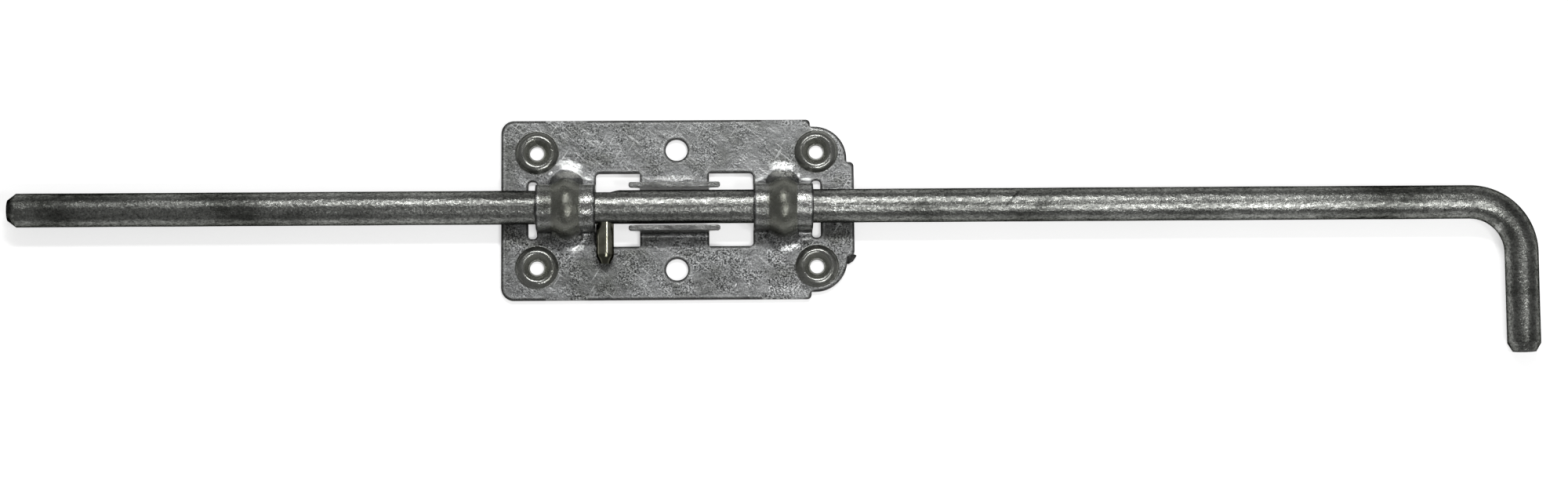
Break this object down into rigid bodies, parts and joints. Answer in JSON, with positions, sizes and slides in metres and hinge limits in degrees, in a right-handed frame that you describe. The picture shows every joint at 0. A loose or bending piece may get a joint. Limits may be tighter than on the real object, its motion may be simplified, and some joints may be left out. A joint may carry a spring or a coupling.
{
  "type": "gate latch",
  "caption": "Long cranked steel bolt in a pressed plate with two drawn straps, two bent-up ears and a stop pin, for closing a gate.",
  "frame": {"origin": "on the plate's back face, at the centre of the four screw holes and under the bar's axis", "axes": "+X along the bar towards its handle, +Z out of the plate's face, +Y across the plate, away from the side the handle points to"},
  "size_m": [0.7226, 0.1144, 0.0245],
  "materials": {
    "galvanised_sheet": "hot-dip galvanised sheet, matt grey with fine spangle and scratches",
    "galvanised_bar": "hot-dip galvanised round bar, dark mottled grey",
    "plated_pin": "smooth zinc-plated pin, olive grey"
  },
  "bodies": {
    "plate": {"mounting_plate": "galvanised_sheet"},
    "bolt": {"bolt_rod": "galvanised_bar", "stop_pin": "plated_pin"}
  },
  "joints": [
    {"name": "bolt_turn", "type": "hinge", "parent": "plate", "child": "bolt", "pos_m": [0, 0, 0.011], "axis": [-1, 0, 0], "range_deg": [0, 185]}
  ]
}
